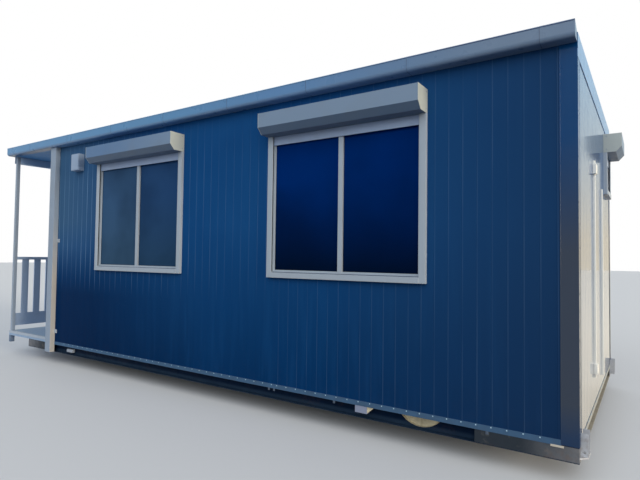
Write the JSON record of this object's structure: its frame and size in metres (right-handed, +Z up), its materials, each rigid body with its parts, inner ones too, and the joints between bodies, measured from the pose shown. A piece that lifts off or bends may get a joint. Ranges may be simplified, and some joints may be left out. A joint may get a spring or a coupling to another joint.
{
  "type": "portable site cabin",
  "caption": "Foam-panel site cabin on a steel chassis, with shuttered windows, a roof gutter and a roofed veranda with picket balustrade at one end.",
  "frame": {"origin": "middle of the overall box in plan, on the level ground under the support blocks", "axes": "+X along the cabin from the veranda end towards the far end wall, +Y from the shuttered front wall to the rear, +Z up"},
  "size_m": [7.362, 3.24, 2.887],
  "materials": {
    "timber": "weathered",
    "galvanised": "matte",
    "pocket_steel": "satin",
    "blue_panel": "satin",
    "blue_strip": "satin",
    "floor_board": "matte",
    "grey_trim": "satin",
    "deck_board": "satin",
    "shutter_metal": "satin",
    "window_metal": "satin",
    "window_glass": "polished",
    "door_skin": "satin",
    "hardware": "satin",
    "white_plastic": "satin"
  },
  "bodies": {
    "root": {"base_strips": "blue_strip", "chassis_corner_plates": "galvanised", "chassis_front_rail": "galvanised", "chassis_joists": "galvanised", "chassis_left_end_rail": "galvanised", "chassis_rear_rail": "galvanised", "chassis_right_end_rail": "galvanised", "corner_flashings": "blue_panel", "corner_posts": "grey_trim", "deck_feet": "galvanised", "door_frame": "grey_trim", "door_handle": "hardware", "door_hinges": "hardware", "door_leaf": "door_skin", "door_wall": "blue_panel", "end_wall_trunking": "white_plastic", "floor_panel": "floor_board", "front_gutter": "grey_trim", "front_left_shutter_guides": "shutter_metal", "front_left_shutter_hood": "shutter_metal", "front_left_shutter_slat": "shutter_metal", "front_left_window_frame": "window_metal", "front_left_window_glass": "window_glass", "front_right_shutter_guides": "shutter_metal", "front_right_shutter_hood": "shutter_metal", "front_right_shutter_slat": "shutter_metal", "front_right_window_frame": "window_metal", "front_right_window_glass": "window_glass", "front_wall": "blue_panel", "left_end_capping": "grey_trim", "lifting_brackets": "galvanised", "post_cleats": "grey_trim", "rail_packer": "pocket_steel", "rear_capping": "grey_trim", "rear_wall": "blue_panel", "right_end_capping": "grey_trim", "right_end_shutter_guides": "shutter_metal", "right_end_shutter_hood": "shutter_metal", "right_end_shutter_slat": "shutter_metal", "right_end_wall": "blue_panel", "right_end_window_frame": "window_metal", "right_end_window_glass": "window_glass", "roof_panel": "grey_trim", "sling_pocket": "pocket_steel", "support_blocks": "timber", "vent_box": "white_plastic", "veranda_deck": "deck_board", "veranda_deck_frame": "deck_board", "veranda_end_balustrade": "grey_trim", "veranda_header": "grey_trim", "veranda_outer_posts": "grey_trim", "veranda_rear_balustrade": "grey_trim"}
  },
  "joints": []
}
